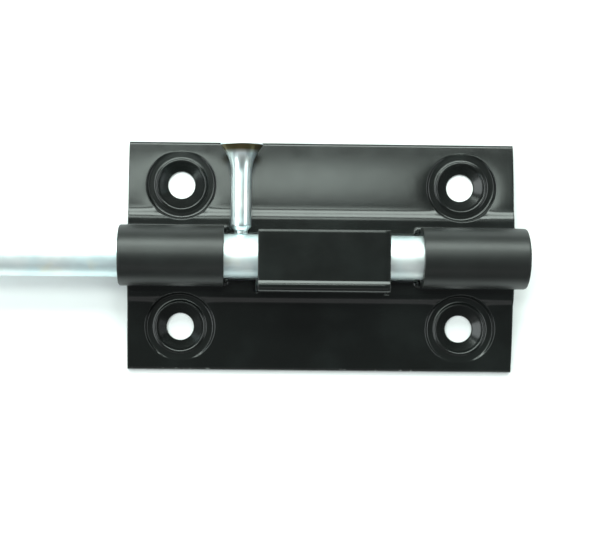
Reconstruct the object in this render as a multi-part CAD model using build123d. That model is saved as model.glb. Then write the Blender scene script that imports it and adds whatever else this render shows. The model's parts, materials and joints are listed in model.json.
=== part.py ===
"""Barrel bolt: a pressed steel base plate that guides a round bolt rod with a thumb knob.

Frame: X runs along the bolt rod, which is thrown towards -X. Y runs across the plate, and at rest
the thumb knob points to +Y. Z points away from the surface that the latch is screwed to. The origin
is the centre of the screw hole rectangle, on the mounting plane. Units are millimetres.
"""

from build123d import *
from math import asin, atan, cos, degrees, radians, sin, sqrt, tan
import os

# Base plate
SHEET = 1.5
PLATE_LENGTH = 90.0
EDGE_MARGIN = 2.1
EDGE_ROUND = 0.8

# Dished screw seats: a flat ring, a raised bead and a countersink round each hole
HOLE_DIAMETER = 6.3
HOLE_END_DISTANCE = 12.25
SINK_ANGLE = 30.0
SEAT_DIAMETER = 16.0
SEAT_LIFT = 0.5
SEAT_DRAFT = 12.0
SEAT_TO_BARREL = 1.35
BEAD_DIAMETER = 12.0
BEAD_WIDTH = 1.1
BEAD_HEIGHT = 0.3

# Bolt rod
ROD_DIAMETER = 10.0
ROD_PLAY = 0.5
TIP_CHAMFER = 0.8
TAIL_CHAMFER = 0.5
TIP_PROUD = 1.0
TAIL_ENGAGEMENT = 17.5

# Rolled barrels, whose throat at the back is narrower than the rod
BARREL_OVERHANG = 1.5
BARREL_CORNER = 1.4
THROAT_GRIP = 0.5
FOOT_BEND = 1.0

# Ledge beside the barrels, step down, and crowned flange out to the edge
LEDGE_WIDTH = 2.05
STEP_TOP_RADIUS = 2.4
STEP_FOOT_RADIUS = 4.0
STEP_ANGLE = 30.0
CROWN_START_ANGLE = 3.0
CROWN_DROP = 2.0

# Guard flap, with a notch at each end of it for the knob
FLAP_LENGTH = 29.8
NOTCH_WIDTH = 7.7
WINDOW_GAP = 0.3
WINDOW_CORNER = 1.2
FLAP_SET_OUT = 0.3
FLAP_REACH = 1.1
FLAP_LEAN = 85.0
FLAP_BEND = 0.15
SHOULDER_ANGLE = 25.0
SHOULDER_BLEND = 0.15

# Thumb knob
KNOB_GAP = 0.06
NECK_DIAMETER = 3.1
NECK_LENGTH = 0.9
SHANK_DIAMETER = 4.7
SHANK_CHAMFER = 0.9
SHANK_LENGTH = 12.1
FLARE_LENGTH = 6.5
HEAD_DIAMETER = 9.8
HEAD_RIM = 0.3
HEAD_DOME = 0.9

# Sheet bends, as radii of the middle of the sheet
HALF_SHEET = SHEET / 2
ROD_RADIUS = ROD_DIAMETER / 2
BARREL_INNER = ROD_RADIUS + ROD_PLAY
BARREL_MIDDLE = BARREL_INNER + HALF_SHEET
BARREL_OUTER = BARREL_INNER + SHEET
FOOT_MIDDLE = FOOT_BEND + HALF_SHEET

# Where the foot of the barrel lies, with the barrel axis at zero height
THROAT = ROD_DIAMETER - THROAT_GRIP
FOOT_Y = THROAT / 2 + HALF_SHEET + FOOT_MIDDLE
FOOT_Z = -sqrt((BARREL_MIDDLE + FOOT_MIDDLE) ** 2 - FOOT_Y**2)
WRAP_ANGLE = 180 - degrees(asin(FOOT_Y / (BARREL_MIDDLE + FOOT_MIDDLE)))
LEDGE_Z = FOOT_Z - FOOT_MIDDLE
LEDGE_END = FOOT_Y + LEDGE_WIDTH

# Plan of the plate, its screw holes and the window between the barrels
HOLE_X = PLATE_LENGTH / 2 - HOLE_END_DISTANCE
HOLE_Y = FOOT_Y + SEAT_TO_BARREL + SEAT_DIAMETER / 2
PLATE_WIDTH = 2 * HOLE_Y + SEAT_DIAMETER + 2 * EDGE_MARGIN
BARREL_REACH = PLATE_LENGTH / 2 + BARREL_OVERHANG
WINDOW_LENGTH = FLAP_LENGTH + 2 * NOTCH_WIDTH
WINDOW_WIDTH = ROD_DIAMETER + 2 * WINDOW_GAP

# The crowned flange, which starts at the foot of the step
CROWN_START_SIN = sin(radians(CROWN_START_ANGLE))
CROWN_START_COS = cos(radians(CROWN_START_ANGLE))
STEP_SIN = sin(radians(STEP_ANGLE))
STEP_COS = cos(radians(STEP_ANGLE))
CROWN_Y = LEDGE_END + STEP_TOP_RADIUS * STEP_SIN + STEP_FOOT_RADIUS * (STEP_SIN - CROWN_START_SIN)
STEP_FOOT_DROP = STEP_FOOT_RADIUS * (CROWN_START_COS - STEP_COS)
CROWN_Z = LEDGE_Z - STEP_TOP_RADIUS * (1 - STEP_COS) - STEP_FOOT_DROP
CROWN_RUN = PLATE_WIDTH / 2 - CROWN_Y
CROWN_END_ANGLE = 2 * degrees(atan(CROWN_DROP / CROWN_RUN)) - CROWN_START_ANGLE
CROWN_RADIUS = CROWN_RUN / (sin(radians(CROWN_END_ANGLE)) - CROWN_START_SIN)
CROWN_CENTRE_Y = CROWN_Y - CROWN_RADIUS * CROWN_START_SIN
CROWN_CENTRE_Z = CROWN_Z - CROWN_RADIUS * CROWN_START_COS
CROWN_OVERRUN = degrees(asin(SHEET / CROWN_RADIUS))

# The barrel axis is as high as puts the flange's outer edges on the mounting plane
EDGE_Y = PLATE_WIDTH / 2 - CROWN_CENTRE_Y
AXIS_HEIGHT = -CROWN_CENTRE_Z - sqrt((CROWN_RADIUS - HALF_SHEET) ** 2 - EDGE_Y**2)
LEDGE_TOP = AXIS_HEIGHT + LEDGE_Z + HALF_SHEET
SHEET_TOP = AXIS_HEIGHT + BARREL_OUTER

# Radii and height of the screw seats
SEAT_HEIGHT = SHEET + SEAT_LIFT
HOLE_RADIUS = HOLE_DIAMETER / 2
SEAT_RADIUS = SEAT_DIAMETER / 2
BEAD_RADIUS = BEAD_DIAMETER / 2
SINK_RADIUS = BEAD_RADIUS - BEAD_WIDTH / 2
WALL_TOP = LEDGE_TOP + SHEET
WALL_TOP_RADIUS = SEAT_RADIUS + (WALL_TOP - SEAT_HEIGHT) * tan(radians(SEAT_DRAFT))

# The knob slides from the middle of one notch to the middle of the other
KNOB_OFFSET = (FLAP_LENGTH + NOTCH_WIDTH) / 2
KNOB_TRAVEL = 2 * KNOB_OFFSET
ROD_TIP_X = -(BARREL_REACH + TIP_PROUD + KNOB_TRAVEL)
ROD_TAIL_X = WINDOW_LENGTH / 2 + TAIL_ENGAGEMENT


def turn(y, z, heading, radius, angle):
    """End point and heading after an arc from (y, z). A positive angle turns left."""
    side = 1 if angle > 0 else -1
    start = radians(heading)
    end = radians(heading + angle)
    y_end = y + side * radius * (sin(end) - sin(start))
    z_end = z - side * radius * (cos(end) - cos(start))
    return y_end, z_end, heading + angle


def skin(path, y, z, heading, offset):
    """Edges of one skin of a bent sheet, to the left of its middle line by offset.

    path lists the middle line's straight lengths and its (radius, angle) bends.
    """
    y -= offset * sin(radians(heading))
    z += offset * cos(radians(heading))
    edges = []
    for piece in path:
        if isinstance(piece, tuple):
            radius, angle = piece
            radius += offset if angle < 0 else -offset
            middle = turn(y, z, heading, radius, angle / 2)
            end = turn(y, z, heading, radius, angle)
            edges.append(ThreePointArc((y, z), middle[:2], end[:2]))
        else:
            run = piece * cos(radians(heading))
            rise = piece * sin(radians(heading))
            end = (y + run, z + rise, heading)
            edges.append(Line((y, z), end[:2]))
        y, z, heading = end
    return edges


def sheet_section(path, y, z, heading):
    """Section of a bent sheet, closed across its two cut edges."""
    outer = skin(path, y, z, heading, HALF_SHEET)
    inner = skin(path, y, z, heading, -HALF_SHEET)
    start = Line(outer[0] @ 0, inner[0] @ 0)
    end = Line(outer[-1] @ 1, inner[-1] @ 1)
    return make_face(outer + inner + [start, end])


def along_x(section, start, end):
    """Solid of a YZ section from one X position to another."""
    return extrude(Plane.YZ.offset(start) * section, amount=end - start)


def both_sides(solid):
    """The solid joined to its mirror image across the XZ plane."""
    return solid + mirror(solid, about=Plane.XZ)


def flange_path():
    """Middle line of the sheet from the ledge outwards, past the edge of the plate."""
    crown_angle = CROWN_END_ANGLE - CROWN_START_ANGLE + CROWN_OVERRUN
    return [
        LEDGE_END - FOOT_Y,
        (STEP_TOP_RADIUS, -STEP_ANGLE),
        (STEP_FOOT_RADIUS, STEP_ANGLE - CROWN_START_ANGLE),
        (CROWN_RADIUS, -crown_angle),
    ]


def plate_outline():
    """Plan of the plate, with a round-cornered barrel end standing out at each end."""
    barrels = RectangleRounded(2 * BARREL_REACH, 2 * BARREL_OUTER, BARREL_CORNER)
    return Rectangle(PLATE_LENGTH, PLATE_WIDTH) + barrels


def formed_sheet():
    """The plate as one barrel along its whole length, before the window is cut."""
    path = [(BARREL_MIDDLE, -WRAP_ANGLE), (FOOT_MIDDLE, WRAP_ANGLE)] + flange_path()
    section = sheet_section(path, 0, AXIS_HEIGHT + BARREL_MIDDLE, 0)
    sheet = both_sides(along_x(section, -BARREL_REACH, BARREL_REACH))
    sheet &= extrude(plate_outline(), amount=SHEET_TOP + 1)
    edges = sheet.edges().filter_by(Axis.X).filter_by(
        lambda e: abs(abs(e.center().Y) - PLATE_WIDTH / 2) < 0.01 and e.center().Z > HALF_SHEET
    )
    return fillet(edges, EDGE_ROUND)


def window():
    """Cutter for the window between the barrels, down to the ledges and through between them."""
    opening = extrude(RectangleRounded(WINDOW_LENGTH, WINDOW_WIDTH, WINDOW_CORNER), amount=SHEET_TOP + 1)
    above = extrude(Rectangle(WINDOW_LENGTH, 2 * LEDGE_END), amount=SHEET_TOP + 1)
    return opening + Pos(0, 0, LEDGE_TOP) * above


def guard_flap():
    """Flap that rises from the -Y ledge and covers the rod between the notches."""
    lean = radians(FLAP_LEAN)
    shoulder = radians(SHOULDER_ANGLE)
    top_middle = FLAP_BEND + HALF_SHEET
    blend_middle = SHOULDER_BLEND + HALF_SHEET
    rise = BARREL_MIDDLE - LEDGE_Z
    foot_rise = FOOT_MIDDLE * (1 - cos(lean))
    bend_rise = top_middle * (cos(shoulder) - cos(lean))
    blend_drop = blend_middle * (1 - cos(shoulder))
    wall = (rise - foot_rise - bend_rise + blend_drop) / sin(lean)
    wall_top_y = HALF_SHEET * sin(lean) - BARREL_OUTER - FLAP_SET_OUT
    foot_y = wall_top_y - wall * cos(lean) - FOOT_MIDDLE * sin(lean)
    top_y = wall_top_y + top_middle * (sin(lean) + sin(shoulder)) + blend_middle * sin(shoulder)
    path = [
        foot_y + LEDGE_END,
        (FOOT_MIDDLE, FLAP_LEAN),
        wall,
        (top_middle, -FLAP_LEAN - SHOULDER_ANGLE),
        (blend_middle, SHOULDER_ANGLE),
        ROD_RADIUS + FLAP_REACH - top_y,
    ]
    section = sheet_section(path, -LEDGE_END, AXIS_HEIGHT + LEDGE_Z, 0)
    return along_x(section, -FLAP_LENGTH / 2, FLAP_LENGTH / 2)


def under_flange():
    """Everything under the +Y flange's top skin, down to the mounting plane."""
    top = skin(flange_path(), FOOT_Y, AXIS_HEIGHT + LEDGE_Z, 0, HALF_SHEET)
    start = top[0] @ 0
    end = top[-1] @ 1
    sides = [Line(start, (start.X, 0)), Line((start.X, 0), (end.X, 0)), Line((end.X, 0), end)]
    return along_x(make_face(top + sides), -PLATE_LENGTH / 2, PLATE_LENGTH / 2)


def seat_profile():
    """Half section of a pressed screw seat, with its wall carried up past the flange."""
    flat_radius = SINK_RADIUS - SEAT_LIFT / tan(radians(SINK_ANGLE))
    sink_bottom = SEAT_HEIGHT - (SINK_RADIUS - HOLE_RADIUS) * tan(radians(SINK_ANGLE))
    corners = [
        (BEAD_RADIUS + BEAD_WIDTH / 2, SEAT_HEIGHT),
        (SEAT_RADIUS, SEAT_HEIGHT),
        (WALL_TOP_RADIUS, WALL_TOP),
        (WALL_TOP_RADIUS + SHEET, WALL_TOP),
        (SEAT_RADIUS + SHEET, SEAT_LIFT),
        (SINK_RADIUS, SEAT_LIFT),
        (flat_radius, 0),
        (HOLE_RADIUS, 0),
        (HOLE_RADIUS, sink_bottom),
        (SINK_RADIUS, SEAT_HEIGHT),
    ]
    crest = (BEAD_RADIUS, SEAT_HEIGHT + BEAD_HEIGHT)
    bead = ThreePointArc(corners[-1], crest, corners[0])
    return make_face([Polyline(*corners), bead])


def seat_clearance():
    """Half section of the space that a screw seat takes out of the flange."""
    corners = [
        (0, -SHEET),
        (SEAT_RADIUS, -SHEET),
        (SEAT_RADIUS, SEAT_HEIGHT),
        (WALL_TOP_RADIUS, WALL_TOP),
        (0, WALL_TOP),
    ]
    return make_face(Polyline(*corners, close=True))


def pressed_plate():
    """Base plate, with its barrels, ledges, crowned flanges, guard flap and screw seats."""
    plate = formed_sheet() - window() + guard_flap()
    seat = revolve(Plane.XZ * seat_profile(), axis=Axis.Z)
    clearance = revolve(Plane.XZ * seat_clearance(), axis=Axis.Z)
    fill = under_flange()
    places = [Pos(side * HOLE_X, HOLE_Y) for side in (-1, 1)]
    for place in places:
        pressed = place * seat & fill
        room = place * clearance
        plate = plate - room - mirror(room, about=Plane.XZ)
        plate = plate + pressed + mirror(pressed, about=Plane.XZ)
    return plate


def bolt_rod():
    """Plain round bar with chamfered ends."""
    length = ROD_TAIL_X - ROD_TIP_X
    section = Plane.YZ.offset(ROD_TIP_X) * Pos(0, AXIS_HEIGHT) * Circle(ROD_RADIUS)
    rod = extrude(section, amount=length)
    ends = rod.faces().filter_by(GeomType.PLANE).sort_by(Axis.X)
    rod = chamfer(ends[0].edges(), TIP_CHAMFER)
    ends = rod.faces().filter_by(GeomType.PLANE).sort_by(Axis.X)
    return chamfer(ends[-1].edges(), TAIL_CHAMFER)


def thumb_knob():
    """Turned knob whose neck ends in a saddle on the rod, a running gap away from it."""
    neck = NECK_DIAMETER / 2
    shank = SHANK_DIAMETER / 2
    head = HEAD_DIAMETER / 2
    neck_end = ROD_RADIUS + NECK_LENGTH
    shank_start = neck_end + SHANK_CHAMFER
    shank_end = shank_start + SHANK_LENGTH
    rim = shank_end + FLARE_LENGTH
    crown = rim + HEAD_RIM + HEAD_DOME
    stem = Polyline(
        (0, 0),
        (neck, 0),
        (neck, neck_end),
        (shank, shank_start),
        (shank, shank_end),
    )
    flare = TangentArc((shank, shank_end), (head, rim), tangent=(0, 1))
    edge = Line((head, rim), (head, rim + HEAD_RIM))
    dome = TangentArc((0, crown), (head, rim + HEAD_RIM), tangent=(1, 0))
    profile = make_face([stem, flare, edge, dome, Line((0, crown), (0, 0))])
    knob = revolve(profile, axis=Axis.Y)
    saddle = Plane.YZ.offset(-head) * Circle(ROD_RADIUS + KNOB_GAP)
    knob -= extrude(saddle, amount=HEAD_DIAMETER)
    return Pos(-KNOB_OFFSET, 0, AXIS_HEIGHT) * knob


def main():
    os.makedirs("parts", exist_ok=True)
    pieces = {
        "pressed_plate": pressed_plate(),
        "bolt_rod": bolt_rod(),
        "thumb_knob": thumb_knob(),
    }
    for name, piece in pieces.items():
        export_step(piece, f"parts/{name}.step")
    print(f"rod axis {AXIS_HEIGHT:.4f} above the mounting plane, ledge top {LEDGE_TOP:.4f}")
    print(f"rod from {ROD_TIP_X:.3f} to {ROD_TAIL_X:.3f}, travel {KNOB_TRAVEL:.3f}")
    print(f"plate {PLATE_WIDTH:.3f} wide, screw holes at {HOLE_X:.3f} and {HOLE_Y:.3f}")


main()
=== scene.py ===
"""Visual model of a black barrel bolt with a zinc-plated rod and knob, built round the packed frame.

The frame's axes hold: X along the rod, Y across the plate, Z out of the mounting plane. Shapes are
worked out in millimetres and go into their meshes in metres.
"""

import json
import math
from types import SimpleNamespace

import bmesh
import bpy
import numpy as np
from bpy.props import FloatProperty, PointerProperty, StringProperty
from mathutils import Matrix, Vector


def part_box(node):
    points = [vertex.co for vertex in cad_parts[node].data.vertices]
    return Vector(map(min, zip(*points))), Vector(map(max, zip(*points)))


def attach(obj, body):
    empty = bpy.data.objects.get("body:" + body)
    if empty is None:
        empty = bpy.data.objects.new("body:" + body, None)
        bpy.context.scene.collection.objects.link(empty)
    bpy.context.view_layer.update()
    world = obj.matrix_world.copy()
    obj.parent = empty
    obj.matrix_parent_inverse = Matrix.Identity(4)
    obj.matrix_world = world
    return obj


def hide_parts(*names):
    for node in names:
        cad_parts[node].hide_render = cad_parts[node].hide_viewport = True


bl_info = {
    "name": "Barrel Bolt",
    "version": (1, 0, 0),
    "blender": (4, 5, 0),
    "location": "3D View > Sidebar > Barrel Bolt",
    "description": "Builds the plate, rod and knob of a barrel bolt, and the stage it lies on",
    "category": "Object",
}

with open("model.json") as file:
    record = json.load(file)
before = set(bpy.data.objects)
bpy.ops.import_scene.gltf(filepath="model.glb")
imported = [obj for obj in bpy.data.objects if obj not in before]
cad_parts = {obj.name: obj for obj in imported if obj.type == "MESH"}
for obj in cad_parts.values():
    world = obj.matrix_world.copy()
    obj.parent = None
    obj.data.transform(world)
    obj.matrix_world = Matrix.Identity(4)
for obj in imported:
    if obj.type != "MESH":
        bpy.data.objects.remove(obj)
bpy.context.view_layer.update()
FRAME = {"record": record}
MM = 0.001

# The lengths below are in millimetres

# Slack in comparisons, a shift that keeps points off the borders between roundings, the gap over
# which points merge, and how near the long edge a cut edge still belongs to it
SLACK = 1e-6
SHIFT = 0.000037
MERGE_GAP = 0.001
EDGE_GAP = 0.01
# Length of the sum of two cut edges' directions, past which the cut turns a corner
CORNER = 0.8
# Edges that turn by more degrees than this are rounded
BEVEL_FROM = 20
# How far the section's last bend and the table of its heights run on, in widths of the crown and of
# the flange, and the rows in that table
CROWN_RUN = 1.5
TABLE_RUN = 1.4
TABLE_ROWS = 4000
# Distance along the section where the barrel's end starts to ease back, in barrel radii
EASE_START = 1.1
# How far inside the ring's edge a seat's wall starts, in wall widths
WALL_START = 0.3
# How much further out the wall's underside stands, in sheet thicknesses
WALL_SPREAD = 0.3
# Share of its height that the flange is drawn down beside a seat, and the stretch that brings it in
DRAW_SHARE = 0.2
DRAW_STRETCH = 6.0
# Width of the ring of fine quads round a screw hole, and of the ring round a seat's wall
HOLE_RING = 0.25
WALL_RING = 0.15
# Width of the outermost quads under the long edges
LIP = 0.25
# Steps round the rod and round the knob
ROD_STEPS = 160
KNOB_STEPS = 96


def box_mm(node):
    """Lowest and highest corner of a node, in millimetres."""
    low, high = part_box(node)
    return np.array(low) / MM, np.array(high) / MM


PLATE_LOW, PLATE_HIGH = box_mm("pressed_plate")
ROD_LOW, ROD_HIGH = box_mm("bolt_rod")
KNOB_LOW, KNOB_HIGH = box_mm("thumb_knob")
MOUNTS = {mount["name"]: mount for mount in FRAME["record"]["mounts"]}
SCREWS = MOUNTS["screw_holes"]["dims"]
AXIS_Z = MOUNTS["bolt_tip"]["pos_m"][2] / MM


def size(name, value, description):
    """A length that the user can change, given in millimetres."""
    return FloatProperty(
        name=name, description=description, default=value * MM, min=0, precision=5, unit="LENGTH"
    )


def angle(name, value, description):
    """An angle that the user can change, given in degrees."""
    return FloatProperty(
        name=name, description=description, default=math.radians(value), subtype="ANGLE"
    )


def colour(name, value, description):
    """A colour that the user can change, as sRGB hex."""
    return StringProperty(name=name, description=description, default=value, maxlen=7)


class PlateSizes(bpy.types.PropertyGroup):
    """Sizes of the pressed plate."""

    sheet: size("Sheet", 1.5, "Thickness of the steel sheet")
    rod: size("Rod", 10.0, "Diameter of the rod that the barrels are rolled round")
    length: size("Length", 90.0, "Length of the flanges along the rod")
    width: size("Width", PLATE_HIGH[1] - PLATE_LOW[1], "Width across both flanges")
    edge_round: size("Edge Round", 0.8, "Radius along the top of the long edges")
    play: size("Rod Play", 0.5, "Gap between the rod and its barrels")
    grip: size("Throat Grip", 0.5, "How much narrower the barrels' throat is than the rod")
    foot_bend: size("Foot Bend", 1.0, "Radius between a barrel and the ledge beside it")
    ledge: size("Ledge", 1.3, "Width of the flat ledge beside the barrels")
    step_top: size("Step Top", 2.4, "Radius of the bend at the top of the step below the ledge")
    step_foot: size("Step Foot", 4.0, "Radius of the bend at the foot of the step")
    step_angle: angle("Step Angle", 30.0, "Steepest slope of the step")
    crown_start: angle("Crown Start", 3.0, "Slope of the flange at the foot of the step")
    crown_drop: size("Crown Drop", 2.0, "Fall of the flange from the step to its edge")
    window: size("Window", 45.2, "Length of the window between the barrels")
    window_gap: size("Window Gap", 0.3, "Gap between the rod and the ledges in the window")
    window_corner: size("Window Corner", 1.2, "Radius in the window's corners")
    flap: size("Flap", 29.8, "Length of the guard flap")
    flap_reach: size("Flap Reach", 1.1, "How far the flap reaches past the rod")
    flap_foot: size("Flap Foot", 0.3, "Radius inside the bend at the flap's foot")
    set_out: size("Flap Set Out", 1.0, "How far the flap's wall stands outside the barrels")
    flap_lean: angle("Flap Lean", 89.5, "Slope of the flap's wall")
    shoulder: angle("Shoulder", 25.0, "Slope of the raised shoulder along the flap's bend")
    facet: size("Facet", 0.4, "Length of the straight slope behind the flap's shoulder")
    tight_bend: size("Tight Bend", 0.05, "Radius inside the flap's sharp bends")
    relief: size("Relief", 0.3, "Slit between the flap's foot and the ledge beside it")
    cut_round: size("Cut Round", 0.16, "Radius that paint gives to the sheared edges")


class SeatSizes(bpy.types.PropertyGroup):
    """Sizes of the dished screw seats."""

    diameter: size("Diameter", 15.6, "Diameter of the flat ring")
    lift: size("Lift", 0.5, "Height of the ring's underside above the mounting plane")
    bead: size("Bead", 11.5, "Diameter of the raised bead")
    bead_width: size("Bead Width", 0.9, "Width of the raised bead")
    bead_height: size("Bead Height", 0.3, "Height of the raised bead")
    sink: angle("Sink", 36.0, "Slope of the countersink")
    wall: size("Wall", 0.55, "Width over which the seat's wall rises to the flange")
    drag: size("Drag", 1.5, "Reach over which the flange beside the seat is drawn down")


class RoundSizes(bpy.types.PropertyGroup):
    """Sizes of the rod and the knob."""

    rod: size("Rod", 10.0, "Diameter of the rod")
    tip_chamfer: size("Tip Chamfer", 0.8, "Chamfer on the rod's leading end")
    tail_chamfer: size("Tail Chamfer", 0.5, "Chamfer on the rod's tail")
    corner: size("Corner", 0.15, "Radius that plating leaves on turned edges")
    gap: size("Knob Gap", 0.06, "Gap between the rod and the knob's neck")
    neck: size("Neck", 3.1, "Diameter of the knob's neck")
    neck_length: size("Neck Length", 0.9, "Length of the neck above the rod")
    shank: size("Shank", 4.7, "Diameter of the knob's shank")
    shank_chamfer: size("Shank Chamfer", 0.9, "Length of the cone between neck and shank")
    flare: size("Flare", 6.5, "Length of the trumpet flare under the head")
    rim: size("Rim", 0.3, "Thickness of the head's rim")
    dome: size("Dome", 0.9, "Height of the dome on the head")


class Finishes(bpy.types.PropertyGroup):
    """Colours of the finishes."""

    paint: colour("Paint", "#101211", "Black paint on the plate")
    paint_dusty: colour("Dusty Paint", "#171A19", "Paint where fine dust greys it")
    bare: colour("Bare Steel", "#8E928F", "Grey steel where the paint is chipped")
    zinc: colour("Zinc", "#F1F7F7", "Bright zinc plate on the rod and knob")
    zinc_blue: colour("Blue Passivate", "#E1F1F4", "Blue bloom in the zinc's passivate")
    zinc_yellow: colour("Yellow Passivate", "#F0EAD6", "Yellow bloom in the zinc's passivate")
    # Painted shade: the dark reflection in the crease under the knob's head, painted in brown
    painted_rim_shade: colour("Brown Passivate", "#7C7152", "Passivate that dried thick under the head's rim")
    floor: colour("Floor", "#F7F8F8", "Plain white paper that the latch lies on")


def mm(group):
    """A property group's lengths in millimetres, with its angles in radians."""
    found = SimpleNamespace()
    for name, prop in group.bl_rna.properties.items():
        if prop.type == "FLOAT":
            scale = MM if prop.unit == "LENGTH" else 1
            setattr(found, name, getattr(group, name) / scale)
    return found


# Shapes as whole arrays


def smooth(value):
    """Eases a value from 0 to 1: three times its square less twice its cube."""
    t = np.clip(value, 0, 1)
    return t * t * (3 - 2 * t)


def bent_line(pieces, y, z, heading, run):
    """Points and headings at the distances run along a line of straights and round bends.

    Each piece is (length, curvature). Over the part t of a piece the heading turns by curvature
    times t, and the point moves along the chord, t times sin(h) / h, in the mean direction, where h
    is half of the turn.
    """
    first = heading
    done = 0.0
    y = np.full(run.shape, float(y))
    z = np.full(run.shape, float(z))
    heading = np.full(run.shape, float(heading))
    for length, curvature in pieces:
        part = np.clip(run - done, 0, length)
        half = curvature * part / 2
        chord = part * np.sinc(half / np.pi)
        y = y + chord * np.cos(first + half)
        z = z + chord * np.sin(first + half)
        heading = heading + 2 * half
        first += curvature * length
        done += length
    return y, z, heading


def lines(stops, steps):
    """Grid lines through the stops, with even gaps no wider than each stretch's step."""
    parts = [
        np.linspace(a, b, max(1, math.ceil((b - a) / step - SLACK)) + 1)[:-1]
        for a, b, step in zip(stops[:-1], stops[1:], steps)
    ]
    return np.concatenate(parts + [[stops[-1]]])


def patch(top, bottom, keep=None):
    """A stretch of sheet: both skins' points on one grid, and the grid's quads, or those kept."""
    rows, columns = top.shape[:2]
    i, j = np.meshgrid(np.arange(rows - 1), np.arange(columns - 1), indexing="ij")
    corner = i * columns + j
    quads = np.stack([corner, corner + 1, corner + columns + 1, corner + columns], axis=-1)
    quads = quads.reshape(-1, 4) if keep is None else quads[keep]
    return top.reshape(-1, 3), bottom.reshape(-1, 3), quads


def flipped(part, x_side, y_side):
    """A patch mirrored to the given sides of the plate."""
    sides = np.array([x_side, y_side, 1])
    return part[0] * sides, part[1] * sides, part[2]


def closed_sheet(parts):
    """Joins patches into one closed shell.

    Points that agree on both skins become one pair. An edge that only one quad has is a cut edge of
    the sheet, and gets a quad from the top skin to the bottom skin. The third result marks the cut
    edges, as pairs of points, and the fourth those points where the cut turns a corner.
    """
    starts = np.cumsum([0] + [len(part[0]) for part in parts[:-1]])
    top = np.concatenate([part[0] for part in parts])
    bottom = np.concatenate([part[1] for part in parts])
    quads = np.concatenate([part[2] + start for part, start in zip(parts, starts)])
    used = np.zeros(len(top), bool)
    used[quads] = True
    place = np.round(np.concatenate([top, bottom], axis=1) + SHIFT, 4)
    _, first, index = np.unique(place[used], axis=0, return_index=True, return_inverse=True)
    number = np.zeros(len(top), int)
    number[used] = index.ravel()
    top = top[used][first]
    bottom = bottom[used][first]
    quads = number[quads]
    edges = np.sort(np.stack([quads, np.roll(quads, -1, axis=1)], axis=-1).reshape(-1, 2), axis=1)
    edges, counts = np.unique(edges, axis=0, return_counts=True)
    cut = edges[(counts == 1) & (edges[:, 0] != edges[:, 1])]
    count = len(top)
    rim = np.column_stack([cut[:, 0], cut[:, 1], cut[:, 1] + count, cut[:, 0] + count])
    along = top[cut[:, 1]] - top[cut[:, 0]]
    along /= np.linalg.norm(along, axis=1, keepdims=True)
    turning = np.zeros((count, 3))
    np.add.at(turning, cut[:, 0], along)
    np.add.at(turning, cut[:, 1], -along)
    corners = np.flatnonzero(np.linalg.norm(turning, axis=1) > CORNER)
    points = np.concatenate([top, bottom])
    faces = np.concatenate([quads, quads[:, ::-1] + count, rim])
    return points, faces, cut, corners


def mesh_object(name, points, faces, merge=True):
    """A smooth-shaded object from points in millimetres, with its faces turned outward.

    Merging closes a surface's seam and poles, and drops the quads that fold up there.
    """
    mesh = bpy.data.meshes.new(name)
    mesh.from_pydata(points * MM, [], faces.tolist())
    shape = bmesh.new()
    shape.from_mesh(mesh)
    if merge:
        bmesh.ops.remove_doubles(shape, verts=shape.verts, dist=MERGE_GAP * MM)
    bmesh.ops.recalc_face_normals(shape, faces=shape.faces)
    shape.to_mesh(mesh)
    shape.free()
    mesh.shade_smooth()
    thing = bpy.data.objects.new(name, mesh)
    bpy.context.scene.collection.objects.link(thing)
    return thing


def plate_measures(scene):
    """Sizes of the plate in millimetres, with the places that follow from them.

    Radii ending in _mid belong to the middle of the sheet. Distances along the sheet's section
    start at the top of the barrel and are named s_.
    """
    p = mm(scene.bolt_plate)
    p.half = p.sheet / 2
    p.rod /= 2
    p.axis = AXIS_Z
    p.hole = SCREWS["hole_r_mm"]
    p.hole_x = SCREWS["spacing_x_mm"] / 2
    p.hole_y = SCREWS["spacing_y_mm"] / 2
    p.end = p.length / 2
    p.reach = PLATE_HIGH[0]
    p.edge = p.width / 2
    p.barrel_mid = p.rod + p.play + p.half
    p.foot_mid = p.foot_bend + p.half
    p.foot_y = p.rod - p.grip / 2 + p.half + p.foot_mid
    p.ledge_y = p.foot_y + p.ledge
    p.wrap = math.pi - math.asin(p.foot_y / (p.barrel_mid + p.foot_mid))
    p.ledge_z = p.axis - math.sqrt((p.barrel_mid + p.foot_mid) ** 2 - p.foot_y**2) - p.foot_mid
    start = math.sin(p.crown_start)
    steep = math.sin(p.step_angle)
    p.crown_y = p.ledge_y + p.step_top * steep + p.step_foot * (steep - start)
    run = p.edge - p.crown_y
    p.crown_end = 2 * math.atan(p.crown_drop / run) - p.crown_start
    crown_radius = run / (math.sin(p.crown_end) - start)
    p.section = [
        (p.barrel_mid * p.wrap, -1 / p.barrel_mid),
        (p.foot_mid * p.wrap, 1 / p.foot_mid),
        (p.ledge, 0),
        (p.step_top * p.step_angle, -1 / p.step_top),
        (p.step_foot * (p.step_angle - p.crown_start), 1 / p.step_foot),
        (CROWN_RUN * run, -1 / crown_radius),
    ]
    p.s_barrel = p.section[0][0]
    p.s_ledge = p.s_barrel + p.section[1][0]
    p.s_window = p.s_ledge - (p.foot_y - p.rod - p.window_gap)
    p.s_corner = p.s_window - p.window_corner
    p.corner_x = p.window / 2 - p.window_corner
    p.corner_lines = p.window_corner * np.sin(np.radians([0, 15, 30, 45]))
    p.join_x = p.corner_x + p.corner_lines[-1]
    p.s_join = p.s_corner + p.corner_lines[-1]
    p.seat_side = p.hole_y - p.foot_y
    return p


def skins(p, pieces, y, z, run):
    """Both skins' y and z at the distances run: the middle line moved square to itself."""
    y, z, heading = bent_line(pieces, y, z, 0.0, run)
    across = p.half * np.sin(heading)
    up = p.half * np.cos(heading)
    return (y - across, z + up), (y + across, z - up)


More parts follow.
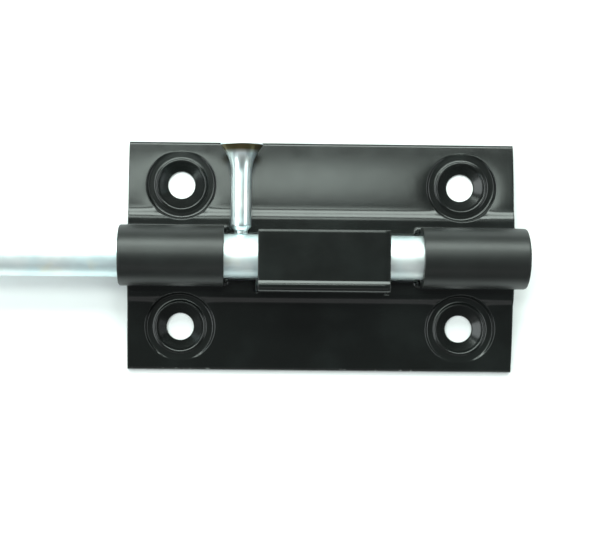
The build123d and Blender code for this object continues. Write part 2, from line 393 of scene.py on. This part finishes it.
def section_skins(p, run):
    """Both skins of the barrel and flange at the distances run from the top of the barrel."""
    sign = np.where(run < 0, -1.0, 1.0)
    top, bottom = skins(p, p.section, 0.0, p.axis + p.barrel_mid, np.abs(run))
    return (sign * top[0], top[1]), (sign * bottom[0], bottom[1])


def in_space(x, skin):
    """Points from x and a skin's y and z, spread to one grid."""
    return np.stack(np.broadcast_arrays(x, skin[0], skin[1]), axis=-1)


def end_x(p, s):
    """How far the sheet reaches along x: the barrel stands out and eases back to the flange."""
    start = EASE_START * p.barrel_mid
    eased = smooth((np.abs(s) - start) / (p.s_ledge + p.ledge - start))
    return p.end + (p.reach - p.end) * (1 - eased)


def plate_lines(p):
    """Lines along x for one half of the plate, from its middle to its end."""
    inner = lines([0, p.flap / 2], [1.5])
    ledge = lines([p.flap / 2 + p.relief, p.corner_x], [0.9])
    seat = lines(
        [p.join_x, p.hole_x - p.seat_side, p.hole_x + p.seat_side, p.end], [0.6, 0.55, 0.5]
    )
    return np.concatenate([inner, ledge, p.corner_x + p.corner_lines[1:-1], seat])


def seat_ring(seat, r, flange, lift):
    """Height of a seat's skin at the radius r, which rises into the flange's height over the wall.

    The ring is flat at lift. The wall is eased from the ring to the flange.
    """
    start = seat.diameter / 2 - WALL_START * seat.wall
    return lift + (flange - lift) * smooth((r - start) / seat.wall)


def countersink(seat, r):
    """Depth of a seat's countersink at the radius r, inside the bead."""
    return np.clip((seat.bead - seat.bead_width) / 2 - r, 0, None) * math.tan(seat.sink)


def seat_top(p, seat, r, flange):
    """Top skin of a seat: countersink, raised bead, flat ring and wall."""
    level = seat.lift + p.sheet
    across = np.clip(np.abs(r - seat.bead / 2) / (seat.bead_width / 2), 0, 1)
    bead = seat.bead_height * (1 - across**2)
    return seat_ring(seat, r, flange, level) - countersink(seat, r) + bead


def seat_bottom(p, seat, r, flange):
    """Bottom skin of a seat: a flat foot round the hole, a cone and a raised ring."""
    ring = seat_ring(seat, r - WALL_SPREAD * p.sheet, flange, seat.lift)
    return np.clip(ring - countersink(seat, r), 0, None)


def drawn_down(p, seat, x, y, flange):
    """How far pressing the seats pulls the flange down beside them.

    A share of the height between flange and seat, which dies away with the distance from the ring
    and towards the barrel's foot.
    """
    root_y = flap_path(p)[1]
    r = np.hypot(np.abs(x) - p.hole_x, y - p.hole_y)
    depth = np.clip(flange - seat.lift - p.sheet, 0, None)
    away = np.exp(-np.clip(r - seat.diameter / 2, 0, None) / seat.drag)
    return DRAW_SHARE * depth * away * smooth((y - root_y) / DRAW_STRETCH)


class Flange:
    """Heights of the +Y flange and the rows that its patches share."""

    def __init__(self, p, seat):
        table = np.linspace(p.s_ledge, p.s_ledge + TABLE_RUN * (p.edge - p.foot_y), TABLE_ROWS)
        self.top_line, self.bottom_line = section_skins(p, table)
        self.p = p
        self.seat = seat
        tangent_y = p.edge - p.edge_round * (1 - math.sin(p.crown_end))
        self.seat_far = p.hole_y + p.seat_side
        self.root_y = flap_path(p)[1]
        self.rows = lines(
            [p.foot_y, self.root_y, p.ledge_y, p.crown_y, self.seat_far, tangent_y],
            [0.5, 0.35, 0.36, 0.6, 0.3],
        )
        turn = np.linspace(p.crown_end, math.pi / 2, 7)[1:]
        centre_z = self.height(self.top_line, tangent_y) - p.edge_round * math.cos(p.crown_end)
        arc_y = p.edge - p.edge_round + p.edge_round * np.sin(turn)
        arc_z = centre_z + p.edge_round * np.cos(turn)
        rows_z = self.height(self.top_line, self.rows)
        self.top = np.append(self.rows, arc_y), np.append(rows_z, arc_z)
        under = np.linspace(tangent_y, p.edge - LIP, len(turn) + 1)[1:-1]
        under_y = np.concatenate([self.rows, under, [p.edge]])
        self.bottom = under_y, self.height(self.bottom_line, under_y)

    def height(self, line, y):
        """Height of a skin at y."""
        return np.interp(y, line[0], line[1])

    def skin(self, x, skin, level):
        """Points of one skin over the lines x, drawn down beside the seats."""
        y, z = skin
        flange = z + level
        drop = drawn_down(self.p, self.seat, x[:, None], y[None, :], flange[None, :])
        return in_space(x[:, None], (y[None, :], z[None, :] - drop))

    def flat(self, x, line, y, level):
        """Height of one skin, drawn down beside the seats, at single points."""
        z = self.height(line, y)
        return z - drawn_down(self.p, self.seat, x, y, z + level)


def flap_path(p):
    """Bent path of the guard flap from its root on the ledge, and the root's distance from y = 0."""
    top = p.tight_bend + p.half
    foot = p.flap_foot + p.half
    rise = p.axis + p.barrel_mid - p.ledge_z
    foot_rise = foot * (1 - math.cos(p.flap_lean))
    bend_rise = top * (math.cos(p.shoulder) - math.cos(p.flap_lean))
    blend_drop = top * (1 - math.cos(p.shoulder))
    wall = (rise - foot_rise - bend_rise + blend_drop) / math.sin(p.flap_lean)
    wall_y = p.half * math.sin(p.flap_lean) - p.barrel_mid - p.half - p.set_out
    root = wall_y - wall * math.cos(p.flap_lean) - foot * math.sin(p.flap_lean)
    crest_y = wall_y + top * (math.sin(p.flap_lean) + 2 * math.sin(p.shoulder))
    flat_y = crest_y + p.facet * math.cos(p.shoulder)
    pieces = [
        (foot * p.flap_lean, 1 / foot),
        (wall, 0),
        (top * (p.flap_lean + p.shoulder), -1 / top),
        (p.facet, 0),
        (top * p.shoulder, 1 / top),
        (p.rod + p.flap_reach - flat_y, 0),
    ]
    return pieces, -root


def barrel_patch(p, x):
    """One barrel, from the window's rim to the end that stands out, over both its feet.

    The section is carried along x. Its first line follows the window's rounded corners and its last
    stretch is drawn out to the barrel's end.
    """
    arc = lines([0, p.s_barrel, p.s_corner], [0.4, 0.3])
    corner = p.s_corner + p.corner_lines[1:-1]
    half = np.concatenate([arc, corner, np.linspace(p.s_join, p.s_ledge, 6)])
    s = np.concatenate([-half[:0:-1], half])
    x = x[x > p.join_x - SLACK]
    inner = p.corner_x + np.sqrt(
        np.clip(p.window_corner**2 - np.clip(np.abs(s) - p.s_corner, 0, None) ** 2, 0, None)
    )
    inner = np.where(np.abs(s) > p.s_join - SLACK, p.join_x, inner)
    last = p.hole_x + p.seat_side
    stretch = (end_x(p, s) - last) / (p.end - last)
    grid = np.where(x[:, None] > last, last + (x[:, None] - last) * stretch, x[:, None])
    grid[0] = inner
    top, bottom = section_skins(p, s)
    return patch(in_space(grid, top), in_space(grid, bottom))


def window_patch(p, x):
    """The ledge's strip along the window, with the window's corners rounded at its ends.

    It lies flat, and eases into the barrel's foot over the corners.
    """
    past = np.clip(np.abs(x) - p.corner_x, 0, None)
    edge = p.s_corner + np.sqrt(p.window_corner**2 - past**2)
    s = edge[:, None] + (p.s_ledge - edge[:, None]) * np.linspace(0, 1, 6)
    bent = smooth(past / (p.join_x - p.corner_x))[:, None]
    flat_y = p.foot_y - (p.s_ledge - s)
    made = []
    for skin, offset in zip(section_skins(p, s), (p.half, -p.half)):
        y = flat_y + (skin[0] - flat_y) * bent
        z = p.ledge_z + offset + (skin[1] - p.ledge_z - offset) * bent
        made.append(in_space(x[:, None], (y, z)))
    return patch(*made)


def flange_patch(p, flange, x, with_flap):
    """One flange from the barrel's foot to its long edge, less the squares round the seats.

    With the flap, the ledge between the flap's relief slits is left out as well.
    """
    top = flange.skin(x, flange.top, 0)
    bottom = flange.skin(x, flange.bottom, p.sheet)
    last = p.hole_x + p.seat_side
    for skin in (top, bottom):
        reach = end_x(p, p.s_ledge + skin[..., 1] - p.foot_y)
        stretch = (reach - last) / (p.end - last)
        outside = np.clip(np.abs(skin[..., 0]) - last, 0, None)
        skin[..., 0] += np.sign(skin[..., 0]) * outside * (stretch - 1)
    middle_x = np.abs(x[1:] + x[:-1])[:, None] / 2
    middle_y = (flange.top[0][1:] + flange.top[0][:-1])[None, :] / 2
    keep = (np.abs(middle_x - p.hole_x) > p.seat_side) | (middle_y > flange.seat_far)
    if with_flap:
        keep &= (middle_x > p.flap / 2 + p.relief) | (middle_y > flange.root_y)
    return patch(top, bottom, keep)


def seat_patch(p, seat, flange, x):
    """A screw seat in its square of flange.

    Rings of points go out from the hole, and past the wall they ease from a circle to the square.
    """
    x = x[np.abs(x - p.hole_x) < p.seat_side + SLACK]
    y = flange.rows[flange.rows < flange.seat_far + SLACK]
    low = np.column_stack([x[:-1], np.full(len(x) - 1, y[0])])
    right = np.column_stack([np.full(len(y) - 1, x[-1]), y[:-1]])
    high = np.column_stack([x[:0:-1], np.full(len(x) - 1, y[-1])])
    left = np.column_stack([np.full(len(y) - 1, x[0]), y[:0:-1]])
    square = np.concatenate([low, right, high, left, low[:1]])
    centre = np.array([p.hole_x, p.hole_y])
    out = square - centre
    out /= np.linalg.norm(out, axis=1, keepdims=True)
    bead_in = (seat.bead - seat.bead_width) / 2
    bead_out = (seat.bead + seat.bead_width) / 2
    wall_in = seat.diameter / 2 - WALL_START * seat.wall
    wall_out = wall_in + seat.wall
    radii = lines(
        [p.hole, p.hole + HOLE_RING, bead_in, bead_out, wall_in, wall_out, wall_out + WALL_RING],
        [0.3, 0.45, 0.12, 0.4, 0.12, 0.2],
    )
    circles = centre + radii[:, None, None] * out
    share = np.linspace(0, 1, 9)[1:, None, None]
    outer = circles[-1] + share * (square - circles[-1])
    plan = np.concatenate([circles, outer])
    r = np.linalg.norm(plan - centre, axis=-1)
    made = []
    for line, level, profile in (
        (flange.top_line, 0, seat_top),
        (flange.bottom_line, p.sheet, seat_bottom),
    ):
        z = profile(p, seat, r, flange.flat(plan[..., 0], line, plan[..., 1], level))
        made.append(np.concatenate([plan, z[..., None]], axis=-1))
    return patch(*made)


def flap_patch(p, x):
    """The guard flap: its bent path carried along the rod."""
    pieces, root_y = flap_path(p)
    stops = np.cumsum([0] + [length for length, _ in pieces])
    run = lines(stops, [0.2, 1.2, 0.1, 0.2, 0.08, 0.8])
    top, bottom = skins(p, pieces, -root_y, p.ledge_z, run)
    x = x[np.abs(x) < p.flap / 2 + SLACK]
    return patch(in_space(x[:, None], top), in_space(x[:, None], bottom))


def plate_patches(p, seat):
    """Every patch of the plate."""
    half = plate_lines(p)
    x = np.concatenate([-half[:0:-1], half])
    flange = Flange(p, seat)
    inside = x[np.abs(x) < p.join_x + SLACK]
    right = inside[inside > p.flap / 2 + p.relief - SLACK]
    ledge = window_patch(p, right)
    barrel = barrel_patch(p, half)
    hole = seat_patch(p, seat, flange, half)
    parts = [flange_patch(p, flange, x, False), flipped(flange_patch(p, flange, x, True), 1, -1)]
    parts += [window_patch(p, inside), flap_patch(p, x)]
    parts += [flipped(ledge, side, -1) for side in (1, -1)]
    parts += [flipped(barrel, side, 1) for side in (1, -1)]
    parts += [flipped(hole, x_side, y_side) for x_side in (1, -1) for y_side in (1, -1)]
    return parts


def add_bevel(thing, width, limit, clamp=True):
    """Rounds an object's edges by a width in millimetres."""
    bevel = thing.modifiers.new("Rounded edges", "BEVEL")
    bevel.width = width * MM
    bevel.segments = 2
    bevel.limit_method = limit
    bevel.angle_limit = math.radians(BEVEL_FROM)
    bevel.use_clamp_overlap = clamp


def mark_cut_edges(thing, p, points, cut, corners):
    """Gives a bevel weight to the sheared edges and their corners, but not to the rounded long edges."""
    count = len(points) // 2
    on_edge = np.abs(points[cut][:, :, 1]).min(axis=1) > p.edge - EDGE_GAP
    upright = np.column_stack([corners, corners + count])
    marked = np.sort(np.concatenate([cut[~on_edge], cut + count, upright]), axis=1)
    mesh = thing.data
    ends = np.empty(len(mesh.edges) * 2, np.int64)
    mesh.edges.foreach_get("vertices", ends)
    ends = np.sort(ends.reshape(-1, 2), axis=1)
    base = len(points)
    weights = np.isin(ends[:, 0] * base + ends[:, 1], marked[:, 0] * base + marked[:, 1])
    layer = mesh.attributes.new("bevel_weight_edge", "FLOAT", "EDGE")
    layer.data.foreach_set("value", weights.astype(np.float32))


def turned(radius, height, segments):
    """Rings round an axis, one to each radius and height: their two ways across, and the height."""
    turn = np.linspace(0, 2 * math.pi, segments + 1)
    across = radius[:, None] * np.cos(turn)
    up = radius[:, None] * np.sin(turn)
    return across, up, np.broadcast_to(height[:, None], across.shape)


def grid_quads(shape):
    """Quads of a grid of points that is stored row by row."""
    blank = np.zeros((*shape[:2], 3))
    return patch(blank, blank)[2]


def arc(start, radius, begin, finish, count):
    """Points (radius, height) on an arc about start, from one direction to another, in radians."""
    directions = np.linspace(begin, finish, count)
    return start[0] + radius * np.cos(directions), start[1] + radius * np.sin(directions)


# Finishes


def linear(text):
    """Linear colour of an sRGB hex colour."""
    s = np.array([int(text[i : i + 2], 16) for i in (1, 3, 5)]) / 255
    lin = np.where(s <= 0.04045, s / 12.92, ((s + 0.055) / 1.055) ** 2.4)
    return (*lin.tolist(), 1.0)


# Least and greatest roughness in the clouds of gloss, and what the barrels add to it
PAINT_ROUGH = (0.19, 0.23)
BARREL_ROUGH = 0.2
DRAWN_ROUGH = (0.45, 0.53)
TURNED_ROUGH = (0.27, 0.35)
# Where the flare ends under the rim of the knob's head
HEAD_THICKNESS = 1.25
RIM_Y = KNOB_HIGH[1] - HEAD_THICKNESS


def new_material(name):
    """A material with an empty node tree."""
    material = bpy.data.materials.new(name)
    material.use_nodes = True
    material.node_tree.nodes.clear()
    return material, material.node_tree


def add(tree, kind, settings, links):
    """Adds a node and gives its outputs. Settings are attributes or inputs, and links are inputs."""
    node = tree.nodes.new(kind)
    for name, value in settings.items():
        if isinstance(name, str) and hasattr(node, name):
            setattr(node, name, value)
        else:
            node.inputs[name].default_value = value
    for name, socket in links.items():
        tree.links.new(socket, node.inputs[name])
    return node.outputs


def painted_steel(p, tones):
    """Black stoving enamel on pressed steel, sprayed thin and baked.

    It flows out nearly smooth, so it gives broad soft reflections with a slight waviness, and it is
    duller on the barrels, where the rolled steel under it is drawn rough. Fine dust greys it in
    drifts, and along the sheared long edges it is chipped to grey steel.
    """
    material, tree = new_material("Black stoving enamel")
    place = add(tree, "ShaderNodeTexCoord", {}, {})["Object"]
    split = add(tree, "ShaderNodeSeparateXYZ", {}, {0: place})
    far_x = add(tree, "ShaderNodeMath", {"operation": "ABSOLUTE"}, {0: split["X"]})[0]
    far_y = add(tree, "ShaderNodeMath", {"operation": "ABSOLUTE"}, {0: split["Y"]})[0]

    # Dust in drifts about 14 mm across
    drifts = {"Scale": 1 / (14 * MM), "Detail": 3}
    drifts = add(tree, "ShaderNodeTexNoise", drifts, {"Vector": place})["Fac"]
    ease = {"interpolation_type": "SMOOTHSTEP", "From Min": 0.42, "From Max": 0.72}
    dust = add(tree, "ShaderNodeMapRange", ease, {"Value": drifts})[0]
    pair = {"data_type": "RGBA", 6: linear(tones.paint), 7: linear(tones.paint_dusty)}
    body = add(tree, "ShaderNodeMix", pair, {"Factor": dust})[2]

    # Chips about 1.4 mm across in groups, within half a millimetre of the sheared edges
    ease = {"From Min": (p.edge - 0.55) * MM, "From Max": (p.edge - 0.1) * MM}
    near_edge = add(tree, "ShaderNodeMapRange", ease, {"Value": far_y})[0]
    grains = {"Scale": 1 / (1.4 * MM), "Detail": 4}
    grains = add(tree, "ShaderNodeTexNoise", grains, {"Vector": place})["Fac"]
    grains = add(tree, "ShaderNodeMapRange", {"From Min": 0.6, "From Max": 0.66}, {"Value": grains})[0]
    groups = {"Scale": 1 / (11 * MM), "Detail": 1}
    groups = add(tree, "ShaderNodeTexNoise", groups, {"Vector": place})["Fac"]
    groups = add(tree, "ShaderNodeMapRange", {"From Min": 0.46, "From Max": 0.55}, {"Value": groups})[0]
    chips = add(tree, "ShaderNodeMath", {"operation": "MULTIPLY"}, {0: grains, 1: groups})[0]
    chips = add(tree, "ShaderNodeMath", {"operation": "MULTIPLY"}, {0: chips, 1: near_edge})[0]
    bare = {"data_type": "RGBA", 7: linear(tones.bare)}
    base = add(tree, "ShaderNodeMix", bare, {"Factor": chips, 6: body})[2]

    # Gloss in clouds about 5 mm across, duller on the barrels
    clouds = {"Scale": 1 / (5 * MM), "Detail": 3}
    clouds = add(tree, "ShaderNodeTexNoise", clouds, {"Vector": place})["Fac"]
    ease = {"From Min": 0.3, "From Max": 0.7, "To Min": PAINT_ROUGH[0], "To Max": PAINT_ROUGH[1]}
    gloss = add(tree, "ShaderNodeMapRange", ease, {"Value": clouds})[0]
    ends = {"From Min": (p.window / 2 - 1) * MM, "From Max": p.window / 2 * MM}
    ends = add(tree, "ShaderNodeMapRange", ends, {"Value": far_x})[0]
    high = {"From Min": (p.axis - 2) * MM, "From Max": p.axis * MM, "To Max": BARREL_ROUGH}
    high = add(tree, "ShaderNodeMapRange", high, {"Value": split["Z"]})[0]
    rough = {"operation": "MULTIPLY_ADD"}
    rough = add(tree, "ShaderNodeMath", rough, {0: ends, 1: high, 2: gloss})[0]

    # Orange peel about 1.6 mm across, with specks of 0.3 mm
    peel = {"Scale": 1 / (1.6 * MM), "Detail": 1}
    peel = add(tree, "ShaderNodeTexNoise", peel, {"Vector": place})["Fac"]
    specks = add(tree, "ShaderNodeTexNoise", {"Scale": 1 / (0.3 * MM)}, {"Vector": place})["Fac"]
    height = {"operation": "MULTIPLY_ADD", 1: 0.12}
    height = add(tree, "ShaderNodeMath", height, {0: specks, 2: peel})[0]
    bump = add(tree, "ShaderNodeBump", {"Strength": 1.0, "Distance": 0.006 * MM}, {"Height": height})[0]

    links = {"Base Color": base, "Roughness": rough, "Normal": bump}
    coat = add(tree, "ShaderNodeBsdfPrincipled", {"IOR": 1.5}, links)
    add(tree, "ShaderNodeOutputMaterial", {}, {"Surface": coat["BSDF"]})
    return material


def zinc_plate(name, stretch, gloss, tones):
    """Bright zinc plate with a clear blue passivate over drawn or turned steel.

    Fine lines run along the drawing or round the turning, and make the metal look pale and satin.
    The passivate blooms in patches between pale blue and pale yellow. In the crease under the rim of the
    knob's head, a brown band is painted shade that stands in for the dark reflection there.
    """
    material, tree = new_material(name)
    place = add(tree, "ShaderNodeTexCoord", {}, {})["Object"]

    # Bloom in patches about 9 mm across, and yellow ones about 6 mm
    bloom = add(tree, "ShaderNodeTexNoise", {"Scale": 1 / (9 * MM)}, {"Vector": place})["Fac"]
    bloom = add(tree, "ShaderNodeMapRange", {"From Min": 0.35, "From Max": 0.65}, {"Value": bloom})[0]
    pair = {"data_type": "RGBA", 6: linear(tones.zinc), 7: linear(tones.zinc_blue)}
    blue = add(tree, "ShaderNodeMix", pair, {"Factor": bloom})[2]
    warm = add(tree, "ShaderNodeTexNoise", {"Scale": 1 / (6 * MM)}, {"Vector": place})["Fac"]
    ease = {"From Min": 0.58, "From Max": 0.78, "To Max": 0.5}
    warm = add(tree, "ShaderNodeMapRange", ease, {"Value": warm})[0]
    yellow = {"data_type": "RGBA", 7: linear(tones.zinc_yellow)}
    pale = add(tree, "ShaderNodeMix", yellow, {"Factor": warm, 6: blue})[2]

    # Painted shade: a brown band under the knob's rim stands in for the dark reflection there, in full
    # over the last 1 mm and easing in over 1 mm
    far = add(tree, "ShaderNodeSeparateXYZ", {}, {0: place})["Y"]
    ease = {"From Min": (RIM_Y - 2.0) * MM, "From Max": (RIM_Y - 1.0) * MM}
    shade_under_rim = add(tree, "ShaderNodeMapRange", ease, {"Value": far})[0]
    under = {"operation": "LESS_THAN", 1: RIM_Y * MM}
    under = add(tree, "ShaderNodeMath", under, {0: far})[0]
    shade_under_rim = add(tree, "ShaderNodeMath", {"operation": "MULTIPLY"}, {0: shade_under_rim, 1: under})[0]
    brown = {"data_type": "RGBA", 7: linear(tones.painted_rim_shade)}
    base = add(tree, "ShaderNodeMix", brown, {"Factor": shade_under_rim, 6: pale})[2]

    # Drawing or turning lines about 0.35 mm apart, over clouds of gloss about 3 mm across
    along = add(tree, "ShaderNodeMapping", {"Scale": stretch}, {"Vector": place})[0]
    drawn = {"Scale": 1 / (0.35 * MM), "Detail": 3}
    drawn = add(tree, "ShaderNodeTexNoise", drawn, {"Vector": along})["Fac"]
    clouds = {"Scale": 1 / (3 * MM), "Detail": 3}
    clouds = add(tree, "ShaderNodeTexNoise", clouds, {"Vector": place})["Fac"]
    ease = {"From Min": 0.3, "From Max": 0.7, "To Min": gloss[0], "To Max": gloss[1]}
    clouds = add(tree, "ShaderNodeMapRange", ease, {"Value": clouds})[0]
    rough = {"operation": "MULTIPLY_ADD", 1: 0.06}
    rough = add(tree, "ShaderNodeMath", rough, {0: drawn, 2: clouds})[0]
    bump = add(tree, "ShaderNodeBump", {"Strength": 1.0, "Distance": 0.003 * MM}, {"Height": drawn})[0]

    links = {"Base Color": base, "Roughness": rough, "Normal": bump}
    metal = add(tree, "ShaderNodeBsdfPrincipled", {"Metallic": 1.0}, links)
    add(tree, "ShaderNodeOutputMaterial", {}, {"Surface": metal["BSDF"]})
    return material


def white_paper(tones):
    """Smooth white paper: matt, with a faint tooth about 0.8 mm across."""
    material, tree = new_material("White paper")
    place = add(tree, "ShaderNodeTexCoord", {}, {})["Object"]
    tooth = {"Scale": 1 / (0.8 * MM), "Detail": 3}
    tooth = add(tree, "ShaderNodeTexNoise", tooth, {"Vector": place})["Fac"]
    bump = add(tree, "ShaderNodeBump", {"Strength": 0.3, "Distance": 0.02 * MM}, {"Height": tooth})[0]
    settings = {"Base Color": linear(tones.floor), "Roughness": 0.85, "Specular IOR Level": 0.2}
    sheet = add(tree, "ShaderNodeBsdfPrincipled", settings, {"Normal": bump})
    add(tree, "ShaderNodeOutputMaterial", {}, {"Surface": sheet["BSDF"]})
    return material


# Operators


class BOLT_OT_plate(bpy.types.Operator):
    """Build the pressed plate with its barrels, guard flap and screw seats"""

    bl_idname = "barrel_bolt.plate"
    bl_label = "Build Plate"

    def execute(self, context):
        scene = context.scene
        p = plate_measures(scene)
        points, faces, cut, corners = closed_sheet(plate_patches(p, mm(scene.bolt_seats)))
        plate = mesh_object("painted_plate", points, faces, merge=False)
        mark_cut_edges(plate, p, points, cut, corners)
        add_bevel(plate, p.cut_round, "WEIGHT", clamp=False)
        plate.data.materials.append(painted_steel(p, scene.bolt_finishes))
        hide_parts("pressed_plate")
        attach(plate, "base")
        return {"FINISHED"}


class BOLT_OT_rod(bpy.types.Operator):
    """Build the round bolt rod"""

    bl_idname = "barrel_bolt.rod"
    bl_label = "Build Rod"

    def execute(self, context):
        scene = context.scene
        sizes = mm(scene.bolt_rounds)
        radius = sizes.rod / 2
        tip = ROD_LOW[0]
        tail = ROD_HIGH[0]
        along = lines([tip + sizes.tip_chamfer, tail - sizes.tail_chamfer], [2.0])
        rings = np.concatenate([[tip, tip], along, [tail, tail]])
        across = np.full(len(rings), radius)
        across[[0, -1]] = 0
        across[1] -= sizes.tip_chamfer
        across[-2] -= sizes.tail_chamfer
        y, z, x = turned(across, rings, ROD_STEPS)
        points = np.stack([x, y, z + AXIS_Z], axis=-1)
        rod = mesh_object("zinc_rod", points.reshape(-1, 3), grid_quads(points.shape))
        add_bevel(rod, sizes.corner, "ANGLE")
        finish = zinc_plate(
            "Zinc plated drawn steel", (0.03, 1.0, 1.0), DRAWN_ROUGH, scene.bolt_finishes
        )
        rod.data.materials.append(finish)
        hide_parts("bolt_rod")
        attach(rod, "rod")
        return {"FINISHED"}


class BOLT_OT_knob(bpy.types.Operator):
    """Build the turned thumb knob"""

    bl_idname = "barrel_bolt.knob"
    bl_label = "Build Knob"

    def execute(self, context):
        scene = context.scene
        k = mm(scene.bolt_rounds)
        rod = k.rod / 2
        centre = (KNOB_LOW + KNOB_HIGH) / 2
        head = (KNOB_HIGH[0] - KNOB_LOW[0]) / 2
        crown = KNOB_HIGH[1]
        rim = crown - k.dome - k.rim
        flare_start = rim - k.flare
        cone = rod + k.neck_length
        spread = head - k.shank / 2
        flare_radius = (spread**2 + k.flare**2) / (2 * spread)
        flare_turn = math.asin(k.flare / flare_radius)
        flare_centre = (k.shank / 2 + flare_radius, flare_start)
        flare = arc(flare_centre, flare_radius, math.pi, math.pi - flare_turn, 20)
        dome_radius = (head**2 + k.dome**2) / (2 * k.dome)
        dome_turn = math.asin(head / dome_radius)
        dome_centre = (0, crown - dome_radius)
        dome = arc(dome_centre, dome_radius, math.pi / 2 - dome_turn, math.pi / 2, 14)
        saddle = np.linspace(0, k.neck / 2, 6)
        shank = lines([cone + k.shank_chamfer, flare_start], [1.0])[:-1]
        neck = lines([rod + k.gap, cone], [0.3])[1:]
        radius = np.concatenate(
            [saddle, np.full(len(neck), k.neck / 2), np.full(len(shank), k.shank / 2), flare[0], dome[0]]
        )
        height = np.concatenate([np.zeros(len(saddle)), neck, shank, flare[1], dome[1]])
        x, z, y = turned(radius, height, KNOB_STEPS)
        seat_y = np.sqrt((rod + k.gap) ** 2 - z**2)
        y = np.where(np.arange(len(radius))[:, None] < len(saddle), seat_y, y)
        points = np.stack([x + centre[0], y, z + AXIS_Z], axis=-1)
        knob = mesh_object("zinc_knob", points.reshape(-1, 3), grid_quads(points.shape))
        add_bevel(knob, k.corner, "ANGLE")
        finish = zinc_plate(
            "Zinc plated turned steel", (1.0, 0.6, 1.0), TURNED_ROUGH, scene.bolt_finishes
        )
        knob.data.materials.append(finish)
        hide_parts("thumb_knob")
        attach(knob, "knob")
        return {"FINISHED"}


# Camera: lengths in millimetres, and angles in degrees. The view's width holds at Z = 0
CAMERA_HEIGHT = 300.0
CAMERA_PLACE = (-19.84, -2.5)
CAMERA_TURN = 0.6
VIEW_WIDTH = 141.4
VIEW_SHIFT = 0.08
VIEW_TILT = 0.73
SENSOR = 36.0
ROOM_BRIGHTNESS = 0.12
ROOM_TONE = "#F0F6F8"
# How far the paper reaches each way, and its height beside the mounting plane's
PAPER_REACH = 1500
PAPER_Z = -0.02
# Lamps a metre from the latch: name, degrees from upright towards +X and +Y, width and height in
# degrees, brightness and tint
LAMPS = (
    ("Window", -6, 46, (70, 22), 11.0, "#E9F7F0"),
    ("Ceiling", -11, 18.5, (40, 12), 7.5, "#E3F2EA"),
    ("Left wall", -50, -4, (30, 50), 4.0, "#F6FFFF"),
    ("Right wall", 50, -4, (26, 40), 3.0, "#F6FFFF"),
    ("Low fill", -10, -50, (70, 16), 0.6, "#FFFFFF"),
)


class BOLT_OT_stage(bpy.types.Operator):
    """Lay the white paper, hang the lights and set up the camera"""

    bl_idname = "barrel_bolt.stage"
    bl_label = "Build Stage"

    def execute(self, context):
        scene = context.scene
        side = np.linspace(-PAPER_REACH, PAPER_REACH, 3)
        plan = np.stack(np.meshgrid(side, side, [PAPER_Z], indexing="ij"), axis=-1)[:, :, 0]
        paper = mesh_object("paper", plan.reshape(-1, 3), grid_quads(plan.shape))
        paper.data.materials.append(white_paper(scene.bolt_finishes))
        world = bpy.data.worlds.new("Dim room")
        world.use_nodes = True
        backdrop = world.node_tree.nodes["Background"]
        backdrop.inputs["Color"].default_value = linear(ROOM_TONE)
        backdrop.inputs["Strength"].default_value = ROOM_BRIGHTNESS
        scene.world = world
        for name, sideways, across, sides, brightness, tone in LAMPS:
            lamp = bpy.data.lights.new(name, "AREA")
            lamp.shape = "RECTANGLE"
            lamp.size, lamp.size_y = (2 * math.tan(math.radians(side / 2)) for side in sides)
            lamp.energy = math.pi * lamp.size * lamp.size_y * brightness
            lamp.color = linear(tone)[:3]
            hung = bpy.data.objects.new(name, lamp)
            place = Vector((math.tan(math.radians(sideways)), math.tan(math.radians(across)), 1))
            place.normalize()
            level = (Vector((1, 0, 0)) - place * place.x).normalized()
            hung.location = place
            hung.rotation_euler = Matrix((level, place.cross(level), place)).transposed().to_euler()
            scene.collection.objects.link(hung)
        lens = bpy.data.cameras.new("Camera")
        lens.sensor_width = SENSOR
        lens.lens = SENSOR * CAMERA_HEIGHT / VIEW_WIDTH
        lens.shift_x = VIEW_SHIFT
        lens.clip_start = 0.01
        camera = bpy.data.objects.new("Camera", lens)
        camera.location = (CAMERA_PLACE[0] * MM, CAMERA_PLACE[1] * MM, CAMERA_HEIGHT * MM)
        camera.rotation_euler = (0, -math.radians(VIEW_TILT), math.radians(CAMERA_TURN))
        scene.collection.objects.link(camera)
        bpy.context.scene.camera = camera
        scene.view_settings.view_transform = "Standard"
        return {"FINISHED"}


GROUPS = {
    "bolt_plate": PlateSizes,
    "bolt_seats": SeatSizes,
    "bolt_rounds": RoundSizes,
    "bolt_finishes": Finishes,
}
OPERATORS = (BOLT_OT_plate, BOLT_OT_rod, BOLT_OT_knob, BOLT_OT_stage)


class BOLT_PT_sidebar(bpy.types.Panel):
    """The latch's sizes and colours, and a button for each of its pieces"""

    bl_idname = "BOLT_PT_sidebar"
    bl_label = "Barrel Bolt"
    bl_space_type = "VIEW_3D"
    bl_region_type = "UI"
    bl_category = "Barrel Bolt"

    def draw(self, context):
        for operator in OPERATORS:
            self.layout.operator(operator.bl_idname)
        for name, group in GROUPS.items():
            box = self.layout.box()
            box.label(text=group.__doc__.split(".")[0])
            for prop in group.__annotations__:
                box.prop(getattr(context.scene, name), prop)


CLASSES = (*GROUPS.values(), *OPERATORS, BOLT_PT_sidebar)


def register():
    for made in CLASSES:
        bpy.utils.register_class(made)
    for name, group in GROUPS.items():
        setattr(bpy.types.Scene, name, PointerProperty(type=group))


def unregister():
    for name in GROUPS:
        delattr(bpy.types.Scene, name)
    for made in reversed(CLASSES):
        bpy.utils.unregister_class(made)


def main():
    register()
    bpy.ops.barrel_bolt.plate()
    bpy.ops.barrel_bolt.rod()
    bpy.ops.barrel_bolt.knob()
    bpy.ops.barrel_bolt.stage()


if __name__ == "__main__":
    main()
